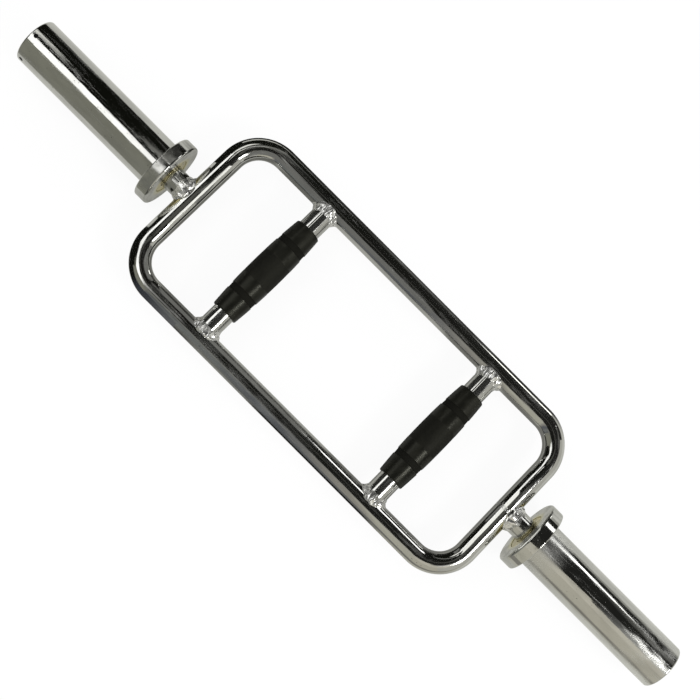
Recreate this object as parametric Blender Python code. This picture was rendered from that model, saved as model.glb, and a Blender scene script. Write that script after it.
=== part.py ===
"""Triceps bar with two parallel grips and two free-turning plate sleeves.

The bar lies flat: +X runs along its length, +Y across the frame and +Z up, with the origin at its centre.
Left is the -X end, front is the -Y side.
"""

import math

import bmesh
import bpy
from mathutils import Matrix, Vector

MM = 0.001
GAP = 0.3 * MM
MERGE_DISTANCE = 0.001 * MM
SHARP_ANGLE = math.radians(30)
SMALL_CHAMFER = 0.8 * MM

# Whole bar
HALF_LENGTH = 432.0 * MM

# Frame, a steel tube bent into a round-cornered rectangle
TUBE_RADIUS = 11.1 * MM
TUBE_WALL = 3.0 * MM
FRAME_HALF_LENGTH = 215.4 * MM
FRAME_HALF_WIDTH = 91.5 * MM
BEND_RADIUS = 36.0 * MM
BEND_STEPS = 8
TUBE_SIDES = 18

# Handles and grips
HANDLE_X = 113.8 * MM
HANDLE_RADIUS = 12.0 * MM
HANDLE_WALL = 3.0 * MM
HANDLE_SIDES = 24
GRIP_HALF_LENGTH = 58.0 * MM
GRIP_MAX_RADIUS = 16.8 * MM
GRIP_END_RADIUS = 14.4 * MM
GRIP_CROWN = 12.0 * MM
GRIP_TAPER = 47.0 * MM
GRIP_EDGE_ROUND = 2.2 * MM
GRIP_GROOVE_AT = 33.5 * MM
GRIP_GROOVE_WIDTH = 6.8 * MM
GRIP_GROOVE_DEPTH = 0.6 * MM
GRIP_GROOVE_WALL = 0.15 * MM
GRIP_SIDES = 22

# Sleeve shafts, turned from round bar and coped onto the frame
SHAFT_RADIUS = 12.7 * MM
JOURNAL_RADIUS = 11.0 * MM
SHOULDER_X = 388.0 * MM
SHAFT_END_X = 417.0 * MM
SHAFT_SIDES = 26
COPE_HORN = 3.5 * MM
COPE_CLEARANCE = 0.4 * MM

# Plate sleeves and collars
SLEEVE_RADIUS = 24.6 * MM
SLEEVE_BORE = 20.5 * MM
SLEEVE_CHAMFER = 1.6 * MM
SLEEVE_SIDES = 36
COLLAR_RADIUS = 36.7 * MM
COLLAR_INNER_X = 244.4 * MM
COLLAR_OUTER_X = 258.6 * MM
COLLAR_LIP = 4.2 * MM
COLLAR_INNER_CHAMFER = 1.8 * MM
COLLAR_OUTER_CHAMFER = 1.0 * MM
COLLAR_SIDES = 40

# Bearings and the stack that keeps a sleeve on its shaft
BUSHING_RADIUS = SLEEVE_BORE - GAP
BUSHING_SIDES = 26
RUNNING_CLEARANCE = 0.4 * MM
INNER_BUSHING_RECESS = 0.6 * MM
INNER_BUSHING_LENGTH = 27.0 * MM
OUTER_BUSHING_LENGTH = 20.0 * MM
WASHER_RADIUS = 18.0 * MM
WASHER_THICKNESS = 2.0 * MM
RING_THICKNESS = 1.4 * MM
RING_BORE = 10.3 * MM
RING_BODY_RADIUS = 13.2 * MM
RING_BODY_SHIFT = 0.5 * MM
RING_GAP_HALF_ANGLE = math.radians(16)
RING_LUG_RADIUS = 2.3 * MM
RING_LUG_AT = 13.0 * MM
RING_LUG_HOLE = 0.9 * MM
GROOVE_RADIUS = RING_BORE - GAP

# End plugs and the two grub screws that hold each of them
PLUG_RECESS = 0.6 * MM
PLUG_THICKNESS = 12.0 * MM
PLUG_CUP_RADIUS = 13.0 * MM
PLUG_CUP_DEPTH = 6.0 * MM
SCREW_FROM_END = 6.0 * MM
SCREW_RADIUS = 2.0 * MM
SCREW_POINT = 0.5 * MM
SCREW_OUTER = 23.9 * MM
SCREW_INNER = 16.0 * MM
SCREW_SOCKET_RADIUS = 1.15 * MM
SCREW_SOCKET_DEPTH = 2.0 * MM
SCREW_HOLE_RADIUS = SCREW_RADIUS + GAP
SCREW_HOLE_DEPTH = 12.0 * MM
SCREW_SIDES = 12
SCREW_ANGLES = {"left": (0.0, 285.0), "right": (150.0, 240.0)}

# Weld beads, concave fillets with a rippled crown; side is on the frame's inside, top is over its crest
HANDLE_WELD_SPREAD = 5.5 * MM
SHAFT_WELD_SPREAD = 3.5 * MM
WELD_SIDE_RISE = 7.0 * MM
WELD_TOP_RISE = 11.0 * MM
WELD_OVER_CREST = 0.6 * MM
WELD_LOWEST = 3.0 * MM
WELD_SIDE_CROWN = 0.5 * MM
WELD_TOP_CROWN = 1.8 * MM
WELD_RIPPLE = 0.6 * MM
WELD_STEPS = 28

# Looks, each a colour, a roughness and how metallic it is
CHROME = ((0.62, 0.62, 0.60), 0.08, 1.0)
BRONZE = ((0.52, 0.38, 0.17), 0.35, 1.0)
STEEL = ((0.42, 0.42, 0.41), 0.38, 1.0)
BLACK_OXIDE = ((0.03, 0.03, 0.03), 0.45, 1.0)
RUBBER = ((0.018, 0.018, 0.016), 0.62, 0.0)


def clear_scene():
    for old in list(bpy.data.objects):
        bpy.data.objects.remove(old, do_unlink=True)


def make_material(name, look):
    color, roughness, metallic = look
    material = bpy.data.materials.new(name)
    material.use_nodes = True
    shader = material.node_tree.nodes["Principled BSDF"]
    shader.inputs["Base Color"].default_value = (*color, 1.0)
    shader.inputs["Roughness"].default_value = roughness
    shader.inputs["Metallic"].default_value = metallic
    return material


def finish_mesh(bm, name):
    """Closes off a bmesh as a smooth-shaded mesh with its sharp edges marked."""
    bmesh.ops.remove_doubles(bm, verts=bm.verts, dist=MERGE_DISTANCE)
    bmesh.ops.recalc_face_normals(bm, faces=bm.faces)
    mesh = bpy.data.meshes.new(name)
    bm.to_mesh(mesh)
    bm.free()
    mesh.shade_smooth()
    mesh.set_sharp_from_angle(angle=SHARP_ANGLE)
    return mesh


def place(name, mesh, look, location=(0, 0, 0), turn_z=0.0, parent=None):
    piece = bpy.data.objects.new(name, mesh)
    bpy.context.scene.collection.objects.link(piece)
    if not mesh.materials:
        mesh.materials.append(make_material(name, look))
    piece.location = location
    piece.rotation_euler = (0, 0, turn_z)
    piece.parent = parent
    return piece


def arc(centre, radius, start, end, steps):
    """Points along an arc in a plane, from start to end."""
    angles = [start + (end - start) * step / steps for step in range(steps + 1)]
    return [(centre[0] + radius * math.cos(a), centre[1] + radius * math.sin(a)) for a in angles]


def turned_mesh(name, profile, sides, bored=True):
    """Turns a profile of (x, radius) points about X; a bored one is a closed outline clear of the axis."""
    bm = bmesh.new()
    verts = [bm.verts.new((x, 0, r)) for x, r in profile]
    edges = [bm.edges.new(pair) for pair in zip(verts, verts[1:])]
    if bored:
        edges.append(bm.edges.new((verts[-1], verts[0])))
    bmesh.ops.spin(bm, geom=verts + edges, axis=(1, 0, 0), cent=(0, 0, 0),
                   angle=math.tau, steps=sides, use_merge=True)
    return finish_mesh(bm, name)


def skin_rings(bm, rings, loop):
    """Joins rings of equal count with faces, and closes the skin end to end or with a cap at each end."""
    rows = [[bm.verts.new(point) for point in ring] for ring in rings]
    count = len(rows[0])
    pairs = list(zip(rows, rows[1:]))
    if loop:
        pairs.append((rows[-1], rows[0]))
    else:
        bm.faces.new(rows[0])
        bm.faces.new(rows[-1])
    for low, high in pairs:
        for i in range(count):
            j = (i + 1) % count
            bm.faces.new((low[i], low[j], high[j], high[i]))


def cylinder_cutter(name, radius, length, sides, matrix):
    """A hidden cylinder whose axis is the matrix's Z."""
    bm = bmesh.new()
    bmesh.ops.create_cone(bm, cap_ends=True, segments=sides, radius1=radius, radius2=radius, depth=length)
    bm.transform(matrix)
    cutter = bpy.data.objects.new(name, finish_mesh(bm, name))
    bpy.context.scene.collection.objects.link(cutter)
    cutter.hide_render = True
    cutter.display_type = "WIRE"
    return cutter


def cut(piece, cutters):
    """Cuts a piece with Booleans and applies them, so that the edges they make can be marked sharp."""
    for cutter in cutters:
        boolean = piece.modifiers.new(cutter.name, "BOOLEAN")
        boolean.operation = "DIFFERENCE"
        boolean.solver = "EXACT"
        boolean.object = cutter
    bpy.context.view_layer.update()
    evaluated = piece.evaluated_get(bpy.context.evaluated_depsgraph_get())
    mesh = bpy.data.meshes.new_from_object(evaluated)
    mesh.name = piece.name
    mesh.set_sharp_from_angle(angle=SHARP_ANGLE)
    piece.modifiers.clear()
    piece.data = mesh


# Frame: two bent halves butt together under the sleeve shafts.
def rail_stations():
    """Centre and heading along one half, from butt to butt by way of its long side."""
    butt_y = -GAP / 2
    bend_x = FRAME_HALF_LENGTH - BEND_RADIUS
    bend_y = -(FRAME_HALF_WIDTH - BEND_RADIUS)
    stations = [(Vector((-FRAME_HALF_LENGTH, butt_y, 0)), -math.pi / 2)]
    for centre_x, start in ((-bend_x, math.pi), (bend_x, -math.pi / 2)):
        for step in range(BEND_STEPS + 1):
            angle = start + step / BEND_STEPS * math.pi / 2
            outwards = Vector((math.cos(angle), math.sin(angle), 0))
            stations.append((Vector((centre_x, bend_y, 0)) + BEND_RADIUS * outwards, angle + math.pi / 2))
    stations.append((Vector((FRAME_HALF_LENGTH, butt_y, 0)), math.pi / 2))
    return stations


def tube_ring(station, radius):
    """Section of the tube, square to its heading."""
    centre, heading = station
    side = Vector((-math.sin(heading), math.cos(heading), 0))
    up = Vector((0, 0, 1))
    turns = [math.tau * i / TUBE_SIDES for i in range(TUBE_SIDES)]
    return [centre + radius * (math.cos(t) * side + math.sin(t) * up) for t in turns]


def rail_mesh():
    stations = rail_stations()
    outside = [tube_ring(station, TUBE_RADIUS) for station in stations]
    bore = [tube_ring(station, TUBE_RADIUS - TUBE_WALL) for station in reversed(stations)]
    bm = bmesh.new()
    skin_rings(bm, outside + bore, loop=True)
    return finish_mesh(bm, "frame_rail")


def add_frame():
    mesh = rail_mesh()
    place("frame_rail_front", mesh, CHROME)
    place("frame_rail_rear", mesh, CHROME, turn_z=math.pi)


# Handles: tubes fish-mouthed at both ends to seat on the frame's long sides.
def handle_mesh():
    end = FRAME_HALF_WIDTH - COPE_HORN
    bore = HANDLE_RADIUS - HANDLE_WALL
    profile = [(-end, HANDLE_RADIUS), (end, HANDLE_RADIUS), (end, bore), (-end, bore)]
    return turned_mesh("handle_tube", profile, HANDLE_SIDES)


def grip_radius(y):
    """Barrel shape: radius = R - (R - R_end) (y / L)^2, less the depth of the two grooves."""
    radius = GRIP_MAX_RADIUS - (GRIP_MAX_RADIUS - GRIP_END_RADIUS) * (y / GRIP_HALF_LENGTH) ** 2
    if abs(abs(y) - GRIP_GROOVE_AT) < GRIP_GROOVE_WIDTH / 2 - GRIP_GROOVE_WALL / 2:
        radius -= GRIP_GROOVE_DEPTH
    return radius


def grip_mesh():
    """Moulded grip, turned about X here and swung round to Y when it is placed."""
    wall = GRIP_GROOVE_WALL
    inner_edge = GRIP_GROOVE_AT - GRIP_GROOVE_WIDTH / 2
    outer_edge = GRIP_GROOVE_AT + GRIP_GROOVE_WIDTH / 2
    shoulder = GRIP_HALF_LENGTH - GRIP_EDGE_ROUND
    half = [GRIP_CROWN, inner_edge, inner_edge + wall, outer_edge - wall, outer_edge, GRIP_TAPER, shoulder]
    side = [(y, grip_radius(y)) for y in half]
    base = grip_radius(shoulder) - GRIP_EDGE_ROUND
    side += [(shoulder + y, base + r) for r, y in arc((0, 0), GRIP_EDGE_ROUND, 0, math.pi / 2, 3)[1:]]
    outline = [(-y, r) for y, r in reversed(side)] + side
    bore = HANDLE_RADIUS + GAP
    outline += [(GRIP_HALF_LENGTH, bore), (-GRIP_HALF_LENGTH, bore)]
    return turned_mesh("grip", outline, GRIP_SIDES)


def add_handles(cope_cutters):
    along_y = math.pi / 2
    tube = handle_mesh()
    cover = grip_mesh()
    for side_name, sign in (("left", -1), ("right", 1)):
        at = (sign * HANDLE_X, 0, 0)
        handle = place("handle_tube_" + side_name, tube, CHROME, at, along_y)
        cut(handle, cope_cutters)
        place("grip_" + side_name, cover, RUBBER, at, along_y)


# Weld beads: each is a closed ring round the saddle where a round piece meets the frame tube.
def weld_section(theta, branch_radius, spread, ripple):
    """Section of a bead at one angle round its branch, with Y up the branch and X along the frame tube."""
    out = Vector((math.cos(theta), 0, math.sin(theta)))
    up = Vector((0, 1, 0))
    topness = math.sin(theta) ** 2
    reach = branch_radius + GAP
    seat = TUBE_RADIUS + COPE_CLEARANCE
    height = math.sqrt(max(seat ** 2 - (reach * math.sin(theta)) ** 2, WELD_LOWEST ** 2))
    corner = reach * out + height * up
    branch_toe = corner + (WELD_SIDE_RISE + (WELD_TOP_RISE - WELD_SIDE_RISE) * topness) * up

    # The toe on the tube follows an ellipse on the tube's unrolled surface.
    along = (branch_radius + spread) * math.cos(theta)
    around = (math.pi / 2 + WELD_OVER_CREST / TUBE_RADIUS) * math.sin(theta)
    tube_toe = Vector((along, seat * math.cos(around), seat * math.sin(around)))
    middle = (math.atan2(corner.z, corner.y) + around) / 2
    middle_radius = (math.hypot(corner.y, corner.z) + seat) / 2
    seated = middle_radius * Vector((0, math.cos(middle), math.sin(middle)))
    seated.x = (corner.x + along) / 2

    crown = WELD_SIDE_CROWN + (WELD_TOP_CROWN - WELD_SIDE_CROWN) * topness + ripple
    push = (out + (1 - topness) * up).normalized()
    face = []
    for share in (0.25, 0.5, 0.75):
        blend = (1 - share) ** 2 * branch_toe + 2 * share * (1 - share) * corner + share ** 2 * tube_toe
        face.append(blend + crown * math.sin(math.pi * share) * push)
    return [corner, branch_toe, *face, tube_toe, seated]


def weld_mesh(name, branch_radius, spread):
    rings = []
    for step in range(WELD_STEPS):
        ripple = WELD_RIPPLE if step % 2 else 0.0
        rings.append(weld_section(math.tau * step / WELD_STEPS, branch_radius, spread, ripple))
    bm = bmesh.new()
    skin_rings(bm, rings, loop=True)
    return finish_mesh(bm, name)


def add_welds():
    handle_weld = weld_mesh("handle_weld", HANDLE_RADIUS, HANDLE_WELD_SPREAD)
    shaft_weld = weld_mesh("shaft_weld", SHAFT_RADIUS, SHAFT_WELD_SPREAD)
    for side_name, sign in (("left", -1), ("right", 1)):
        x = sign * HANDLE_X
        place(f"handle_weld_{side_name}_front", handle_weld, CHROME, (x, -FRAME_HALF_WIDTH, 0))
        place(f"handle_weld_{side_name}_rear", handle_weld, CHROME, (x, FRAME_HALF_WIDTH, 0), math.pi)
        shaft_at = (sign * FRAME_HALF_LENGTH, 0, 0)
        place("shaft_weld_" + side_name, shaft_weld, CHROME, shaft_at, -sign * math.pi / 2)


# Sleeve ends: all of it is modelled for the right end and turned about Z for the left.
def stack_positions():
    """X of each piece on the shaft's journal, from the shoulder outwards."""
    bushing = SHOULDER_X + GAP
    washer = bushing + OUTER_BUSHING_LENGTH + GAP
    ring = washer + WASHER_THICKNESS + GAP
    return bushing, washer, ring


def shaft_mesh():
    """Shaft with a shoulder, a bearing journal and a groove for the retaining ring."""
    start = FRAME_HALF_LENGTH + COPE_HORN
    ring = stack_positions()[2]
    groove_end = ring + RING_THICKNESS + GAP
    edge = SMALL_CHAMFER
    profile = [
        (SHAFT_END_X, 0),
        (SHAFT_END_X, JOURNAL_RADIUS - edge),
        (SHAFT_END_X - edge, JOURNAL_RADIUS),
        (groove_end, JOURNAL_RADIUS),
        (groove_end, GROOVE_RADIUS),
        (ring - GAP, GROOVE_RADIUS),
        (ring - GAP, JOURNAL_RADIUS),
        (SHOULDER_X, JOURNAL_RADIUS),
        (SHOULDER_X, SHAFT_RADIUS - edge),
        (SHOULDER_X - edge, SHAFT_RADIUS),
        (start, SHAFT_RADIUS),
        (start, 0),
    ]
    return turned_mesh("sleeve_shaft", profile, SHAFT_SIDES, bored=False)


def collar_mesh():
    """Flanged collar: its lip keeps the sleeve tube from sliding through, flush with the bushing."""
    inner = COLLAR_INNER_X
    outer = COLLAR_OUTER_X
    counterbore = SLEEVE_RADIUS + GAP
    profile = [
        (inner, SLEEVE_BORE),
        (inner, COLLAR_RADIUS - COLLAR_INNER_CHAMFER),
        (inner + COLLAR_INNER_CHAMFER, COLLAR_RADIUS),
        (outer - COLLAR_OUTER_CHAMFER, COLLAR_RADIUS),
        (outer, COLLAR_RADIUS - COLLAR_OUTER_CHAMFER),
        (outer, counterbore),
        (inner + COLLAR_LIP, counterbore),
        (inner + COLLAR_LIP, SLEEVE_BORE),
    ]
    return turned_mesh("collar", profile, COLLAR_SIDES)


def sleeve_mesh():
    start = COLLAR_INNER_X + COLLAR_LIP + GAP
    end = HALF_LENGTH
    bore_edge = SMALL_CHAMFER / 2
    profile = [
        (start, SLEEVE_BORE),
        (start, SLEEVE_RADIUS),
        (end - SLEEVE_CHAMFER, SLEEVE_RADIUS),
        (end, SLEEVE_RADIUS - SLEEVE_CHAMFER),
        (end, SLEEVE_BORE + bore_edge),
        (end - bore_edge, SLEEVE_BORE),
    ]
    return turned_mesh("sleeve", profile, SLEEVE_SIDES)


def bushing_mesh(name, start, length, shaft_radius):
    """Plain bronze bushing, pressed into the sleeve and running on the shaft."""
    end = start + length
    bore = shaft_radius + RUNNING_CLEARANCE
    edge = SMALL_CHAMFER
    profile = [
        (start, bore + edge),
        (start, BUSHING_RADIUS - edge),
        (start + edge, BUSHING_RADIUS),
        (end, BUSHING_RADIUS),
        (end, bore),
        (start + edge, bore),
    ]
    return turned_mesh(name, profile, BUSHING_SIDES)


def washer_mesh():
    start = stack_positions()[1]
    end = start + WASHER_THICKNESS
    bore = JOURNAL_RADIUS + RUNNING_CLEARANCE
    profile = [(start, bore), (start, WASHER_RADIUS), (end, WASHER_RADIUS), (end, bore)]
    return turned_mesh("thrust_washer", profile, BUSHING_SIDES)


def retaining_ring_mesh():
    """External snap ring: an eccentric C whose ends swell into lugs, each with a hole for the pliers."""
    start = stack_positions()[2]
    lug_half_angle = RING_LUG_RADIUS / RING_LUG_AT
    lug_at = RING_GAP_HALF_ANGLE + lug_half_angle
    lug_centre = (RING_LUG_AT * math.cos(lug_at), RING_LUG_AT * math.sin(lug_at))
    lug_from = lug_at - math.radians(75)
    lug_to = lug_at + math.radians(60)

    # The half outline runs from the back of the bore to the gap, round the lug and along the body.
    bore = arc((0, 0), RING_BORE, math.pi, RING_GAP_HALF_ANGLE, 10)
    lug = arc(lug_centre, RING_LUG_RADIUS, lug_from, lug_to, 5)
    body = arc((-RING_BODY_SHIFT, 0), RING_BODY_RADIUS, lug_at + lug_half_angle / 2, math.pi, 10)
    half = bore + lug + body
    hole = arc(lug_centre, RING_LUG_HOLE, math.tau, 0, 8)[:-1]
    bm = bmesh.new()
    for mirror in (1, -1):
        for outline in (half, hole + hole[:1]):
            verts = [bm.verts.new((start, y, mirror * z)) for y, z in outline]
            for pair in zip(verts, verts[1:]):
                bm.edges.new(pair)
    bmesh.ops.remove_doubles(bm, verts=bm.verts, dist=MERGE_DISTANCE)
    filled = bmesh.ops.triangle_fill(bm, edges=list(bm.edges), use_beauty=True, use_dissolve=False)
    faces = [item for item in filled["geom"] if isinstance(item, bmesh.types.BMFace)]
    pushed = bmesh.ops.extrude_face_region(bm, geom=faces)["geom"]
    verts = [item for item in pushed if isinstance(item, bmesh.types.BMVert)]
    bmesh.ops.translate(bm, verts=verts, vec=(RING_THICKNESS, 0, 0))
    return finish_mesh(bm, "retaining_ring")


def plug_mesh():
    """End plug, cupped on its inner side."""
    end = HALF_LENGTH - PLUG_RECESS
    start = end - PLUG_THICKNESS
    edge = SMALL_CHAMFER
    profile = [
        (end, 0),
        (end, BUSHING_RADIUS - edge),
        (end - edge, BUSHING_RADIUS),
        (start, BUSHING_RADIUS),
        (start, PLUG_CUP_RADIUS),
        (start + PLUG_CUP_DEPTH, PLUG_CUP_RADIUS - edge),
        (start + PLUG_CUP_DEPTH, 0),
    ]
    return turned_mesh("end_plug", profile, BUSHING_SIDES, bored=False)


def hexagon_radius(angle, corner_radius):
    """Distance from the centre to a hexagon's side, with a corner at angle 0."""
    sector = math.pi / 3
    offset = angle % sector - sector / 2
    return corner_radius * math.cos(sector / 2) / math.cos(offset)


def screw_mesh():
    """Grub screw with a hexagon socket, standing on Z at its distance from the sleeve's axis."""
    turns = [math.tau * i / SCREW_SIDES for i in range(SCREW_SIDES)]
    socket = [hexagon_radius(t, SCREW_SOCKET_RADIUS) for t in turns]
    sections = [
        (SCREW_INNER, [SCREW_RADIUS - SCREW_POINT] * SCREW_SIDES),
        (SCREW_INNER + SCREW_POINT, [SCREW_RADIUS] * SCREW_SIDES),
        (SCREW_OUTER, [SCREW_RADIUS] * SCREW_SIDES),
        (SCREW_OUTER, socket),
        (SCREW_OUTER - SCREW_SOCKET_DEPTH, socket),
    ]
    rings = []
    for height, radii in sections:
        rings.append([(r * math.cos(t), r * math.sin(t), height) for r, t in zip(radii, turns)])
    bm = bmesh.new()
    skin_rings(bm, rings, loop=False)
    return finish_mesh(bm, "plug_screw")


def add_sleeve_end(side_name, sign, meshes, cope_cutter):
    """Places one end: the shaft and its stack on the frame, and the sleeve's pieces on the spin axis."""
    turn = 0.0 if sign > 0 else math.pi
    shaft = place("sleeve_shaft_" + side_name, meshes["shaft"], CHROME, turn_z=turn)
    cut(shaft, [cope_cutter])
    place("thrust_washer_" + side_name, meshes["washer"], STEEL, turn_z=turn)
    place("retaining_ring_" + side_name, meshes["ring"], BLACK_OXIDE, turn_z=turn)

    spin = bpy.data.objects.new("spin_axis_" + side_name, None)
    bpy.context.scene.collection.objects.link(spin)
    spin.rotation_euler = (0, 0, turn)
    place("collar_" + side_name, meshes["collar"], CHROME, parent=spin)
    sleeve = place("sleeve_" + side_name, meshes["sleeve"], CHROME, parent=spin)
    place("inner_bushing_" + side_name, meshes["inner_bushing"], BRONZE, parent=spin)
    place("outer_bushing_" + side_name, meshes["outer_bushing"], BRONZE, parent=spin)
    plug = place("end_plug_" + side_name, meshes["plug"], STEEL, parent=spin)

    end_turn = Matrix.Rotation(turn, 4, "Z")
    holes = []
    for number, degrees in enumerate(SCREW_ANGLES[side_name], start=1):
        angle = math.radians(degrees)
        at = Vector((HALF_LENGTH - SCREW_FROM_END, 0, 0))
        screw = place(f"plug_screw_{side_name}_{number}", meshes["screw"], BLACK_OXIDE, at, parent=spin)
        screw.rotation_euler = (angle, 0, 0)
        lift = Matrix.Translation((0, 0, SCREW_INNER - GAP + SCREW_HOLE_DEPTH / 2))
        hole_at = end_turn @ Matrix.Translation(at) @ Matrix.Rotation(angle, 4, "X") @ lift
        holes.append(cylinder_cutter(f"cut_screw_{side_name}_{number}", SCREW_HOLE_RADIUS, SCREW_HOLE_DEPTH,
                                     SCREW_SIDES, hole_at))
    cut(sleeve, holes)
    cut(plug, holes)


def add_sleeve_ends(cope_cutters):
    bushing_x = stack_positions()[0]
    inner_x = COLLAR_INNER_X + INNER_BUSHING_RECESS
    meshes = {
        "shaft": shaft_mesh(),
        "washer": washer_mesh(),
        "ring": retaining_ring_mesh(),
        "collar": collar_mesh(),
        "sleeve": sleeve_mesh(),
        "inner_bushing": bushing_mesh("inner_bushing", inner_x, INNER_BUSHING_LENGTH, SHAFT_RADIUS),
        "outer_bushing": bushing_mesh("outer_bushing", bushing_x, OUTER_BUSHING_LENGTH, JOURNAL_RADIUS),
        "plug": plug_mesh(),
        "screw": screw_mesh(),
    }
    for side_name, sign in (("left", -1), ("right", 1)):
        add_sleeve_end(side_name, sign, meshes, cope_cutters[side_name])


def add_cope_cutters():
    """Cylinders a little larger than the frame tube, lying where its straight runs do."""
    radius = TUBE_RADIUS + COPE_CLEARANCE
    sides = 2 * TUBE_SIDES
    to_x = Matrix.Rotation(math.pi / 2, 4, "Y")
    to_y = Matrix.Rotation(math.pi / 2, 4, "X")
    long_sides = []
    for name, y in (("cut_front", -FRAME_HALF_WIDTH), ("cut_rear", FRAME_HALF_WIDTH)):
        matrix = Matrix.Translation((0, y, 0)) @ to_x
        long_sides.append(cylinder_cutter(name, radius, 2 * FRAME_HALF_LENGTH, sides, matrix))
    short_sides = {}
    for side_name, sign in (("left", -1), ("right", 1)):
        matrix = Matrix.Translation((sign * FRAME_HALF_LENGTH, 0, 0)) @ to_y
        short_sides[side_name] = cylinder_cutter("cut_" + side_name, radius, FRAME_HALF_WIDTH, sides, matrix)
    return long_sides, short_sides


clear_scene()
long_cutters, short_cutters = add_cope_cutters()
add_frame()
add_welds()
add_handles(long_cutters)
add_sleeve_ends(short_cutters)
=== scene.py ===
import math

import bpy
import numpy as np
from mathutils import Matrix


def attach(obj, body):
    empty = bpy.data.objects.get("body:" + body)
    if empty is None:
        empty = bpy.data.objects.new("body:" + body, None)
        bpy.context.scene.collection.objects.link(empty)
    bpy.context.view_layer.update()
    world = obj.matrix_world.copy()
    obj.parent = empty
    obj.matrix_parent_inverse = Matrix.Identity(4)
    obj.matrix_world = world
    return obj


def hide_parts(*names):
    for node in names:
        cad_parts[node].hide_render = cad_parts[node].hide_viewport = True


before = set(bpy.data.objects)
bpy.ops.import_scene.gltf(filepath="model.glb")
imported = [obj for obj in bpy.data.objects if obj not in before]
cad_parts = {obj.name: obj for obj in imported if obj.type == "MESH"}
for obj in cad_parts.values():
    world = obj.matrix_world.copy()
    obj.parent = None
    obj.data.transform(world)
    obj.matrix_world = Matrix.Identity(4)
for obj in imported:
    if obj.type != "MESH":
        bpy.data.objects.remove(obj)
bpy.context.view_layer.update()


# Frame: 22 mm steel tube bent into a rectangle with round corners, its seams closed under the shaft
# welds, then polished and chromed. Years of use have scratched it along its length.
MM = 0.001
TUBE_RADIUS = 11.1 * MM
FRAME_HALF_LENGTH = 215.4 * MM
FRAME_HALF_WIDTH = 91.5 * MM
BEND_RADIUS = 36.0 * MM
BEND_STEPS = 28
TUBE_SIDES = 80
SEAM_HALF_GAP = 2.0 * MM
SHARP_ANGLE = math.radians(40)
ENDS = (("left", -1), ("right", 1))
CHROME_TINT = (0.60, 0.60, 0.575, 1.0)
MARK_ROUGHNESS = 0.1
PIT_ROUGHNESS = 0.25
SMUDGE_SHARE = 0.75
FILM_FULL = 4.0
POLISH_WAVE = 0.08 * MM
SCRATCH_DEPTH = 0.006 * MM


def grid_faces(rows, columns, close_rows=True):
    """Corners of every cell of a grid of points numbered row by row. The last column joins the first, and so
    does the last row if rows are closed."""
    row = np.arange(rows if close_rows else rows - 1)
    row, column = np.meshgrid(row, np.arange(columns), indexing="ij")
    next_row = (row + 1) % rows
    next_column = (column + 1) % columns
    corners = (row * columns + column, next_row * columns + column,
               next_row * columns + next_column, row * columns + next_column)
    return np.stack(corners, axis=-1).reshape(-1, 4)


def make_piece(name, points, material, faces=None, straight=None):
    """Makes a smooth-shaded object of a grid of points, or of points and faces. straight holds each point's
    place if the piece were unbent along X, for patterns that follow it."""
    if faces is None:
        faces = grid_faces(*points.shape[:2])
    mesh = bpy.data.meshes.new(name)
    mesh.from_pydata(np.reshape(points, (-1, 3)), [], faces)
    if straight is not None:
        layer = mesh.attributes.new("straight", "FLOAT_VECTOR", "POINT")
        layer.data.foreach_set("vector", np.ravel(straight).astype(np.float32))
    mesh.shade_smooth()
    mesh.set_sharp_from_angle(angle=SHARP_ANGLE)
    mesh.materials.append(material)
    piece = bpy.data.objects.new(name, mesh)
    bpy.context.scene.collection.objects.link(piece)
    return piece


def plug_in(tree, node, inputs):
    """Sets a node's inputs to values or links them from sockets."""
    for key, value in inputs.items():
        if isinstance(value, bpy.types.NodeSocket):
            tree.links.new(value, node.inputs[key])
        else:
            node.inputs[key].default_value = value


def feed(tree, kind, inputs, output=0, **settings):
    """Adds a shader node with its settings and inputs, and returns one of its outputs."""
    node = tree.nodes.new("ShaderNode" + kind)
    for key, value in settings.items():
        setattr(node, key, value)
    plug_in(tree, node, inputs)
    return node.outputs[output]


def fade(tree, value, start, end, low=0.0, high=1.0):
    """Carries a value smoothly from low at start to high at end, and holds it outside them."""
    inputs = {"Value": value, "From Min": start, "From Max": end, "To Min": low, "To Max": high}
    return feed(tree, "MapRange", inputs, interpolation_type="SMOOTHSTEP")


def grain(tree, place, stretch, detail, pattern=0.0):
    """Noise with stretch's cells per metre along X, Y and Z; another pattern number gives other noise."""
    scaled = feed(tree, "VectorMath", {0: place, 1: stretch}, operation="MULTIPLY")
    inputs = {"Vector": scaled, "W": pattern, "Scale": 1.0, "Detail": detail}
    return feed(tree, "TexNoise", inputs, noise_dimensions="4D")


def blend_colors(tree, factor, first, second):
    """A mix of two colours, the first where the factor is 0; 6, 7 and 2 are the node's colour sockets."""
    return feed(tree, "Mix", {0: factor, 6: first, 7: second}, output=2, data_type="RGBA")


def combine(tree, operation, first, second):
    """Arithmetic on two values."""
    return feed(tree, "Math", {0: first, 1: second}, operation=operation)


def multiply(tree, first, second):
    """The product of two values."""
    return combine(tree, "MULTIPLY", first, second)


def darker(tint, share):
    """A colour at a share of its brightness."""
    return tuple(share * part for part in tint[:3]) + (1.0,)


def pattern_place(tree, follow=None):
    """The place that a pattern follows: a named attribute of the mesh, or the object's own coordinates."""
    if follow is None:
        return feed(tree, "TexCoord", {}, output="Object")
    return feed(tree, "Attribute", {}, output="Vector", attribute_name=follow)


def place_x(tree, place):
    """The X part of a place."""
    return feed(tree, "SeparateXYZ", {0: place}, output="X")


def bump(tree, distance, height, under=None):
    """A normal raised by a height, at a distance in metres, on top of another bump if one is given."""
    inputs = {"Strength": 1.0, "Distance": distance, "Height": height}
    if under is not None:
        inputs["Normal"] = under
    return feed(tree, "Bump", inputs)


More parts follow.
